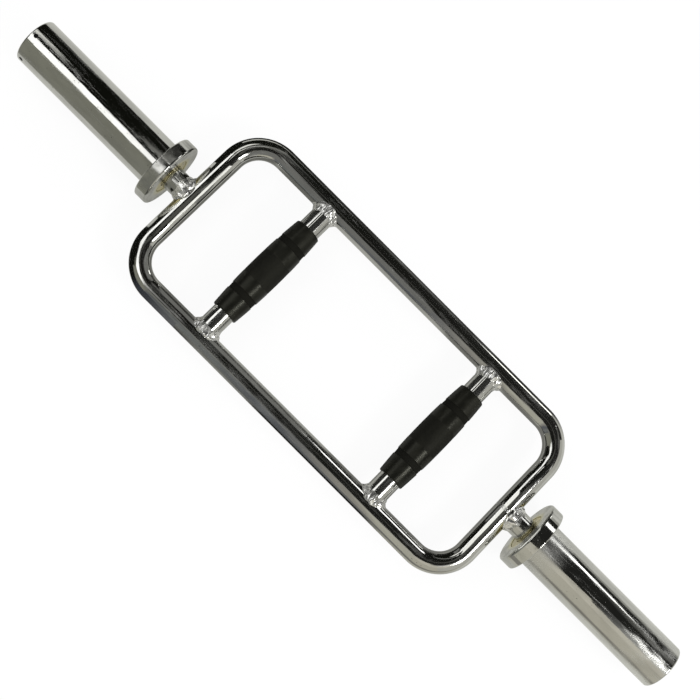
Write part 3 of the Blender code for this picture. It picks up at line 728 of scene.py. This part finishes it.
def sleeve_outline():
    """Outer wall with even steps across the holes' patch, a rounded end, and back along the bore."""
    patch = HOLE_X + HOLE_CELL * np.arange(-HOLE_CELLS, HOLE_CELLS + 1)
    wall = np.concatenate((np.linspace(SLEEVE_START, patch[0] - 2 * MM, 9), patch))
    turn = np.linspace(0, np.pi / 2, 7)
    end_x = SLEEVE_END - SLEEVE_EDGE + SLEEVE_EDGE * np.sin(turn)
    end_radius = SLEEVE_RADIUS - SLEEVE_EDGE + SLEEVE_EDGE * np.cos(turn)
    mouth = [SLEEVE_END, SLEEVE_END - BORE_EDGE]
    x = np.concatenate((wall, [end_x[0] - 0.05 * MM], end_x, mouth, wall[::-1]))
    radius = np.concatenate((np.full(len(wall) + 1, SLEEVE_RADIUS), end_radius, [SLEEVE_BORE + BORE_EDGE],
                             np.full(len(wall) + 1, SLEEVE_BORE)))
    return np.stack((x, radius), axis=-1), len(wall)


def sleeve_surface(angles, sign):
    """The turned wall with square patches left out, and in each patch rings that run from the square on the
    outside to the hole's circle, through the wall, and out to the square in the bore. An angle is in degrees
    from the top."""
    outline, wall_rows = sleeve_outline()
    rows = len(outline)
    points = turned(outline, SLEEVE_SIDES).reshape(-1, 3)
    cells = grid_faces(rows, SLEEVE_SIDES).reshape(rows, SLEEVE_SIDES, 4)
    keep = np.ones((rows, SLEEVE_SIDES), bool)
    patch = 2 * HOLE_CELLS
    first_row = wall_rows - 1 - patch
    bore_row = rows - wall_rows
    span = np.arange(patch)
    near = np.zeros(patch, int)
    far = np.full(patch, patch)
    side_rows = np.concatenate((span, far, patch - span, near))
    side_columns = np.concatenate((near, span, far, patch - span))
    bearing = np.arctan2(side_columns - HOLE_CELLS, side_rows - HOLE_CELLS)
    ring_x = HOLE_X + HOLE_RADIUS * np.cos(bearing)
    ring_across = -HOLE_RADIUS * np.sin(bearing)
    all_points = [points]
    all_faces = []
    for angle in angles:
        # turned() runs from +Y towards -Z, so +Z is three quarters round
        column = int(round((270.0 + sign * angle) / 360.0 * SLEEVE_SIDES)) - HOLE_CELLS
        columns = (column + span) % SLEEVE_SIDES
        keep[np.ix_(first_row + span, columns)] = False
        keep[np.ix_(bore_row + span, columns)] = False
        square_columns = (column + side_columns) % SLEEVE_SIDES
        outer = (first_row + side_rows) * SLEEVE_SIDES + square_columns
        inner = (bore_row + patch - side_rows) * SLEEVE_SIDES + square_columns
        centre = -2 * np.pi * (column + HOLE_CELLS) / SLEEVE_SIDES
        loops = [outer]
        for radius in (SLEEVE_RADIUS, SLEEVE_BORE):
            lean = centre + ring_across / radius
            loops.append(sum(map(len, all_points)) + np.arange(len(outer)))
            all_points.append(np.stack((ring_x, radius * np.cos(lean), radius * np.sin(lean)), axis=-1))
        loops = np.stack(loops + [inner])
        following = np.roll(loops, -1, axis=1)
        quads = np.stack((loops[:-1], following[:-1], following[1:], loops[1:]), axis=-1)
        all_faces.append(quads.reshape(-1, 4))
    points = np.concatenate(all_points) * np.array([sign, sign, 1])
    return points, np.concatenate([cells[keep]] + all_faces)


# Dulled lengths of the right sleeve, as X in metres: beside the collar and at the outer end
COLLAR_ZONE = (0.24, 0.245, 0.27, 0.3, 1.5, 0.2)
END_ZONE = (0.355, 0.4, 0.44, 0.45, 1.5, 0.8)

for side, sign, rubbed in (("left", -1, ()), ("right", 1, (COLLAR_ZONE, END_ZONE))):
    sleeve_chrome = scratched_chrome("sleeve_chrome_" + side, None, scratches=1.3, film_depth=0.055,
                                     rubbed=rubbed)
    points, faces = sleeve_surface(HOLE_ANGLES[side], sign)
    sleeve = make_piece("plate_sleeve_" + side, points, sleeve_chrome, faces)
    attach(sleeve, side + "_sleeve")
    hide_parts("sleeve_" + side)


# End plugs and grub screws: a turned steel disc closes each sleeve, held by two black hexagon-socket screws.
# The screws keep their CAD solids.
PLUG_FACE_X = 431.4 * MM
PLUG_THICKNESS = 12.0 * MM
PLUG_RADIUS = 20.35 * MM
PLUG_CUP_RADIUS = 13.0 * MM
PLUG_CUP_DEPTH = 6.0 * MM
PLUG_EDGE = 0.8 * MM
PLUG_CAP_RADIUS = 0.4 * MM
PLUG_SIDES = 128

plug_steel = turned_metal("plug_steel", (0.45, 0.45, 0.44, 1.0), 0.34, 0.3 * MM, 0.75)
screw_black = turned_metal("screw_black", (0.035, 0.035, 0.036, 1.0), 0.5, 0.4 * MM, 0.6)
plug_back = PLUG_FACE_X - PLUG_THICKNESS
cup_floor = plug_back + PLUG_CUP_DEPTH
plug_outline = np.array([
    (cup_floor, PLUG_CAP_RADIUS), (cup_floor, PLUG_CUP_RADIUS), (plug_back, PLUG_CUP_RADIUS),
    (plug_back, PLUG_RADIUS), (PLUG_FACE_X - PLUG_EDGE, PLUG_RADIUS),
    (PLUG_FACE_X - 0.25 * MM, PLUG_RADIUS - 0.2 * MM), (PLUG_FACE_X, PLUG_RADIUS - PLUG_EDGE),
    (PLUG_FACE_X, PLUG_RADIUS - PLUG_EDGE - 0.3 * MM), (PLUG_FACE_X, PLUG_CAP_RADIUS)])
for side, sign in ENDS:
    points = turned(plug_outline, PLUG_SIDES, sign)
    plug = make_piece("plug_disc_" + side, points, plug_steel, capped_faces(*points.shape[:2]))
    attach(plug, side + "_sleeve")
    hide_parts("end_plug_" + side)
    for number in ("1", "2"):
        refinish(f"plug_screw_{side}_{number}", screw_black)


# Floor: a plain white table that the collars rest on. It is white to the eye and to the chrome, and keeps a
# trace of the bar's shadow.
FLOOR_HALF_SIZE = 6.0
FLOOR_Z = -COLLAR_RADIUS
FLOOR_GLOW_SHARE = 0.9
WHITE = (1.0, 1.0, 1.0, 1.0)


def start_glow(holder):
    """Clears a material's or world's node tree and returns it."""
    holder.use_nodes = True
    holder.node_tree.nodes.clear()
    return holder.node_tree


def finish_tree(tree, kind, surface):
    """Links a finished shader to the tree's output node."""
    tree.links.new(surface, tree.nodes.new(kind).inputs["Surface"])


def make_card(name, corners, material):
    """One flat sheet of the studio."""
    mesh = bpy.data.meshes.new(name)
    mesh.from_pydata(corners, [], [tuple(range(len(corners)))])
    mesh.materials.append(material)
    card = bpy.data.objects.new(name, mesh)
    bpy.context.scene.collection.objects.link(card)
    return card


def seen_directly(tree):
    """1 for rays from the camera, a mirror or a pane, 0 for light on matt surfaces."""
    path = tree.nodes.new("ShaderNodeLightPath")
    seen = combine(tree, "MAXIMUM", path.outputs["Is Camera Ray"], path.outputs["Is Glossy Ray"])
    return combine(tree, "MAXIMUM", seen, path.outputs["Is Transmission Ray"])


def level(x_low, x_high, y_low, y_high, z):
    """Corners of a level rectangle."""
    return [(x_low, y_low, z), (x_high, y_low, z), (x_high, y_high, z), (x_low, y_high, z)]


floor_white = bpy.data.materials.new("floor_white")
tree = start_glow(floor_white)
matt = feed(tree, "BsdfDiffuse", {"Color": (0.9, 0.9, 0.9, 1.0)})
glow = feed(tree, "Emission", {"Color": WHITE, "Strength": 1.0})
share = multiply(tree, seen_directly(tree), FLOOR_GLOW_SHARE)
finish_tree(tree, "ShaderNodeOutputMaterial", feed(tree, "MixShader", {0: share, 1: matt, 2: glow}))
floor_corners = level(-FLOOR_HALF_SIZE, FLOOR_HALF_SIZE, -FLOOR_HALF_SIZE, FLOOR_HALF_SIZE, FLOOR_Z)
make_card("floor", floor_corners, floor_white)


# World: plain white light from all round, a little dimmer on matt surfaces than to the eye and to the
# chrome.
WORLD_LEVEL = 0.93

world = bpy.data.worlds.new("studio_light")
bpy.context.scene.world = world
tree = start_glow(world)
strength = feed(tree, "MapRange", {"Value": seen_directly(tree), "To Min": WORLD_LEVEL, "To Max": 1.0})
finish_tree(tree, "ShaderNodeOutputWorld", feed(tree, "Background", {"Color": WHITE, "Strength": strength}))


# Studio room: black cloth overhead and behind, plain grey and beige sheets in front and at the right, and a
# low rear sheet with a band that glows at three times white as painted light. Only the chrome sees them, and
# they give it the dark and light bands of a product studio.
ROOM_X = 3.0
ROOM_REAR = 3.4
ROOM_FRONT = -2.4
CEILING_Z = 2.7
REAR_SHEET_TOP = 0.6
CLOTH = (0.007, 0.0075, 0.0055)
CLOTH_RIGHT = (0.02, 0.02, 0.0185)
CEILING_EDGE = [(-ROOM_X, -1.3), (-1.1, -1.36), (0.0, -1.65), (0.25, -1.5), (0.5, -1.75), (0.75, -1.1),
                (1.1, -0.74), (ROOM_X, -0.3)]


def card_tone(name, colors):
    """A sheet whose tone runs along X through plain colours, given as (x in metres, red, green, blue)."""
    material = bpy.data.materials.new(name)
    tree = start_glow(material)
    x = place_x(tree, pattern_place(tree))
    tone = tuple(colors[0][1:]) + (1.0,)
    for (x0, *_), (x1, *rgb) in zip(colors, colors[1:]):
        tone = blend_colors(tree, fade(tree, x, x0, x1), tone, tuple(rgb) + (1.0,))
    finish_tree(tree, "ShaderNodeOutputMaterial", feed(tree, "Emission", {"Color": tone, "Strength": 1.0}))
    return material


def studio_card(name, corners, *colors):
    """A sheet of the room that only mirrors see; it casts no shadow and adds no light to matt surfaces."""
    card = make_card(name, corners, card_tone(name, colors))
    card.visible_camera = False
    card.visible_diffuse = False
    card.visible_shadow = False


def black_card(name, corners):
    """A sheet of black cloth."""
    studio_card(name, corners, (0.0, *CLOTH))


def at_height(z, *places):
    """Corners of a level sheet of any outline."""
    return [(x, y, z) for x, y in places]


def upright(start, end, z_low, z_high):
    """Corners of an upright sheet over the line from start to end on the table."""
    return at_height(z_low, start, end) + at_height(z_high, end, start)


studio_card("ceiling_cloth", at_height(CEILING_Z, *CEILING_EDGE, (ROOM_X, ROOM_REAR), (-ROOM_X, ROOM_REAR)),
            (-1.0, *CLOTH), (1.0, *CLOTH_RIGHT))
studio_card("ceiling_front",
            at_height(CEILING_Z, (-ROOM_X, ROOM_FRONT), (ROOM_X, ROOM_FRONT), *CEILING_EDGE[::-1]),
            (-1.1, 0.27, 0.27, 0.225), (-0.55, 0.23, 0.23, 0.215), (-0.22, 0.25, 0.25, 0.235),
            (0.0, 0.11, 0.117, 0.13), (0.35, 0.34, 0.33, 0.3), (0.6, 0.55, 0.54, 0.48),
            (1.1, 0.72, 0.69, 0.6))
studio_card("front_sheet", upright((-ROOM_X, ROOM_FRONT), (ROOM_X, ROOM_FRONT), FLOOR_Z, CEILING_Z),
            (-1.1, 0.28, 0.28, 0.235), (-0.75, 0.26, 0.26, 0.225), (-0.6, 0.11, 0.12, 0.135),
            (-0.45, 0.21, 0.22, 0.215), (0.0, 0.14, 0.148, 0.165), (0.35, 0.38, 0.365, 0.33),
            (0.52, 0.58, 0.57, 0.49), (1.1, 0.6, 0.575, 0.49))
studio_card("rear_cloth", upright((-ROOM_X, ROOM_REAR), (ROOM_X, ROOM_REAR), REAR_SHEET_TOP, CEILING_Z),
            (-1.0, *CLOTH), (1.0, *CLOTH_RIGHT))
# The low rear sheet is dark but for a band from 0.45 to 0.8 m along X that glows at three times white:
# painted light.
studio_card("rear_sheet", upright((-ROOM_X, ROOM_REAR), (ROOM_X, ROOM_REAR), FLOOR_Z, REAR_SHEET_TOP),
            (-0.6, 0.015, 0.015, 0.014), (-0.1, 0.07, 0.07, 0.066), (0.3, 0.07, 0.07, 0.066),
            (0.45, 3.0, 3.0, 2.9), (0.8, 3.0, 3.0, 2.9), (1.0, 0.4, 0.4, 0.37))
black_card("left_cloth", upright((-ROOM_X, ROOM_FRONT), (-ROOM_X, ROOM_REAR), FLOOR_Z, CEILING_Z))
studio_card("right_sheet", upright((ROOM_X, ROOM_FRONT), (ROOM_X, ROOM_REAR), FLOOR_Z, CEILING_Z),
            (0.0, 0.58, 0.575, 0.53))


# Table as the chrome sees it: level sheets that only the chrome sees, painted with the table's shade. They
# are grey close under the bar with darker painted shadows to the left of the grips and the short sides, olive
# and beige towards the front, and dark beside the long rails.
TABLE_Z = FLOOR_Z + 0.5 * MM
TABLE_X = 2.9
UNDER_BAR_FRONT = -0.115
UNDER_BAR_REAR = 0.1
STRIP_FRONT = -0.185
STRIP_REAR = 0.185


def table_card(name, y_low, y_high, *colors):
    """A sheet that lies across the whole table, its tone running along X."""
    studio_card(name, level(-TABLE_X, TABLE_X, y_low, y_high, TABLE_Z), *colors)


# Painted shade of the table close under the bar, with darker painted shadows left of the grips and short
# sides.
table_card("table_painted_shade", UNDER_BAR_FRONT, UNDER_BAR_REAR,
           (-0.3, 0.7, 0.7, 0.66), (-0.24, 0.42, 0.42, 0.39), (-0.2, 0.5, 0.5, 0.47),
           (-0.175, 0.2, 0.2, 0.185), (-0.13, 0.2, 0.2, 0.185), (-0.1, 0.55, 0.55, 0.52),
           (0.045, 0.5, 0.5, 0.47), (0.065, 0.26, 0.26, 0.24), (0.1, 0.26, 0.26, 0.24),
           (0.125, 0.45, 0.45, 0.42), (0.15, 0.25, 0.25, 0.235), (0.188, 0.25, 0.25, 0.235),
           (0.2, 0.55, 0.55, 0.51), (0.24, 0.58, 0.58, 0.54), (0.4, 0.78, 0.78, 0.73))
table_card("front_strip", STRIP_FRONT, UNDER_BAR_FRONT,
           (-0.27, 0.28, 0.28, 0.235), (-0.2, 0.07, 0.07, 0.065), (-0.14, 0.09, 0.09, 0.085),
           (-0.1, 0.3, 0.3, 0.28), (-0.05, 0.3, 0.3, 0.28), (-0.02, 0.015, 0.015, 0.014),
           (0.12, 0.015, 0.015, 0.014), (0.16, 0.45, 0.44, 0.38), (0.2, 0.6, 0.59, 0.52))
table_card("front_cloth", ROOM_FRONT, STRIP_FRONT,
           (-1.1, 0.28, 0.28, 0.235), (-0.27, 0.27, 0.27, 0.235), (-0.2, 0.13, 0.13, 0.125),
           (-0.13, 0.2, 0.2, 0.19), (0.0, 0.135, 0.142, 0.158), (0.35, 0.3, 0.29, 0.26),
           (1.1, 0.44, 0.42, 0.36))
table_card("rear_strip", UNDER_BAR_REAR, STRIP_REAR,
           (-0.3, 0.7, 0.7, 0.66), (-0.24, 0.015, 0.015, 0.014), (0.19, 0.015, 0.015, 0.014),
           (0.25, 0.72, 0.72, 0.68))
table_card("rear_table", STRIP_REAR, ROOM_REAR,
           (-0.33, 0.7, 0.7, 0.66), (-0.24, 0.045, 0.045, 0.042), (-0.09, 0.045, 0.045, 0.042),
           (-0.03, 0.15, 0.15, 0.145), (0.04, 0.15, 0.15, 0.145), (0.08, 0.08, 0.08, 0.077),
           (0.2, 0.1, 0.1, 0.097), (0.34, 0.75, 0.75, 0.71))


# Flags and glows: small cards close to the bar that darken or light single edges of the chrome, and pale
# cards at the softboxes' height that carry their light on past their edges.
SHADE_Z = FLOOR_Z + 1.0 * MM
SHADE_CORNERS = [(-0.243, 0.09), (-0.205, 0.09), (-0.19, 0.1), (-0.17, 0.103), (-0.17, 0.2), (-0.243, 0.2)]
CORNER_REAR = [(-0.2428, 0.085), (-0.209, 0.1188)]
CORNER_REAR_TOP = 0.0
CORNER_FRONT = [(-0.2434, -0.05), (-0.2356, -0.0874), (-0.21, -0.113), (-0.14, -0.1194)]
CORNER_FRONT_LOW = -0.022
CORNER_FRONT_TOP = 0.016
EDGE_GLOWS = (("left", -0.2, -0.1995, 0.0165, 0.03, -0.035, 0.05),
              ("right", 0.2, 0.1995, 0.021, 0.051, -0.055, 0.025))
SOFTBOX_Z = 1.5
UNDER_SOFTBOX_Z = 1.498

black_card("shade_corner", at_height(SHADE_Z, *SHADE_CORNERS))
black_card("flag_left_rear", upright((-0.243, 0.043), (-0.243, 0.085), FLOOR_Z, 0.009))
black_card("flag_corner_rear", upright(*CORNER_REAR, FLOOR_Z, CORNER_REAR_TOP))
for number, ends in enumerate(zip(CORNER_FRONT, CORNER_FRONT[1:])):
    studio_card(f"flag_corner_front_{number}", upright(*ends, CORNER_FRONT_LOW, CORNER_FRONT_TOP),
                (-0.215, *CLOTH), (-0.19, 0.05, 0.055, 0.066), (-0.14, 0.15, 0.155, 0.165))
for side, x, back_x, z_low, z_high, y_low, y_high in EDGE_GLOWS:
    studio_card("edge_glow_" + side, upright((x, y_low), (x, y_high), z_low, z_high), (0.0, 1.5, 1.5, 1.45))
    black_card("edge_back_" + side, upright((back_x, y_low), (back_x, y_high), z_low, z_high))
studio_card("flag_rear_right", upright((0.0, 0.13), (0.21, 0.13), 0.022, 0.046), (0.0, *CLOTH_RIGHT))
studio_card("flag_middle", upright((-0.19, 0.03), (0.03, 0.03), 0.03, 0.15), (0.0, 0.22, 0.22, 0.21))
black_card("flag_softbox_left", at_height(UNDER_SOFTBOX_Z, (-0.85, 0.055), (-0.575, -0.12), (-0.575, 0.055)))
studio_card("glow_left", level(-0.57, -0.3, -0.67, -0.2, SOFTBOX_Z),
            (-0.57, 0.8, 0.8, 0.77), (-0.3, 0.1, 0.1, 0.1))
studio_card("glow_rear_left", at_height(SOFTBOX_Z, (-1.5, 0.47), (-0.9, 0.47), (-0.98, 1.03), (-1.5, 1.03)),
            (-1.05, 1.25, 1.25, 1.2), (-0.96, 0.45, 0.45, 0.43))
studio_card("glow_rear_collar", level(-0.66, -0.38, 0.44, 1.9, SOFTBOX_Z),
            (-0.55, 0.27, 0.27, 0.255), (-0.4, 0.03, 0.03, 0.03))
studio_card("glow_rear_rim", upright((-1.07, 3.39), (-0.88, 3.39), 1.2, CEILING_Z), (0.0, 0.11, 0.11, 0.105))
studio_card("glow_rear_right", level(0.9, 1.4, 0.95, 2.0, SOFTBOX_Z),
            (0.9, 0.03, 0.03, 0.03), (1.05, 0.13, 0.13, 0.12))
studio_card("glow_right", level(0.78, 1.0, -0.6, 0.12, SOFTBOX_Z),
            (0.78, 0.06, 0.06, 0.06), (1.0, 0.55, 0.55, 0.53))
studio_card("glow_right_edge", level(1.0, 1.16, -0.6, 0.35, SOFTBOX_Z),
            (1.0, 0.9, 0.9, 0.87), (1.16, 1.2, 1.2, 1.15))
studio_card("glow_right_rear", level(1.16, 1.6, 0.46, 0.56, SOFTBOX_Z),
            (1.16, 0.7, 0.7, 0.67), (1.4, 0.85, 0.85, 0.82))
studio_card("glow_rear_middle", level(-0.6, -0.4, 0.335, 0.42, SOFTBOX_Z),
            (-0.5, 1.6, 1.6, 1.55), (-0.4, 0.2, 0.2, 0.19))
studio_card("glow_above", level(-0.8, 0.8, 0.22, 0.42, CEILING_Z - 0.02), (0.0, 0.11, 0.11, 0.1))


# Softboxes: large diffused lamps left and right of the camera and behind the bar, facing the table. Their
# mirror images are the bright bands along the sleeves and the frame.
def softbox(name, centre, size, radiance):
    """A level rectangular lamp facing down; its power is radiance x pi x area."""
    lamp = bpy.data.lights.new(name, "AREA")
    lamp.shape = "RECTANGLE"
    lamp.size, lamp.size_y = size
    lamp.energy = radiance * math.pi * size[0] * size[1]
    holder = bpy.data.objects.new(name, lamp)
    holder.location = (*centre, SOFTBOX_Z)
    holder.visible_camera = False
    bpy.context.scene.collection.objects.link(holder)


softbox("softbox_left", (-1.435, 0.0825), (0.89, 0.745), 1.75)
softbox("softbox_front_left", (-0.85, -0.355), (0.6, 0.81), 1.75)
softbox("softbox_right", (1.42, 0.0), (0.48, 0.6), 18.0)
softbox("softbox_rear_right", (0.675, 2.35), (1.05, 1.1), 2.6)


# Camera: about 1.2 m above the table and a little in front of the bar, turned so that the bar lies across the
# picture from corner to corner.
SENSOR_MM = 36.0
LENS_MM = 62.816
CAMERA_PLACE = (-0.00471, -0.16438, 1.17982)
CAMERA_TURN = (5.658, -5.818, 44.739)

eye = bpy.data.cameras.new("camera")
eye.lens = LENS_MM
eye.sensor_width = SENSOR_MM
eye.clip_start = 0.01
camera = bpy.data.objects.new("camera", eye)
camera.location = CAMERA_PLACE
camera.rotation_euler = tuple(math.radians(part) for part in CAMERA_TURN)
bpy.context.scene.collection.objects.link(camera)
bpy.context.scene.camera = camera
bpy.context.scene.view_settings.view_transform = "Standard"
